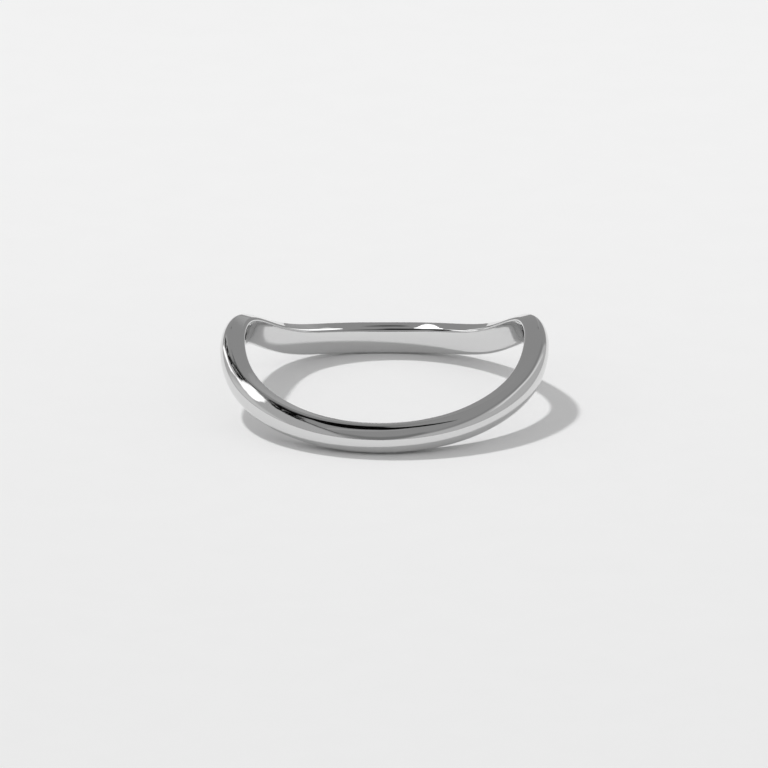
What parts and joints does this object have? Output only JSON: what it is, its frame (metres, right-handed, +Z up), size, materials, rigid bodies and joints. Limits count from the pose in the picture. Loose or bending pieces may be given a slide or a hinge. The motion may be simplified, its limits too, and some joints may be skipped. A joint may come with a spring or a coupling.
{
  "type": "curved wedding band",
  "caption": "Plain curved ring band with a D-shaped section that leans in at its top, low at front and back and raised at both sides, lying flat.",
  "frame": {"origin": "on the surface that the ring lies on, under the middle of the finger hole", "axes": "+X to the ring's right side, +Y to its back, +Z up along the finger"},
  "size_m": [0.0204, 0.0204, 0.0048],
  "materials": {
    "white_gold": "polished"
  },
  "bodies": {
    "root": {"band": "white_gold"}
  },
  "joints": []
}
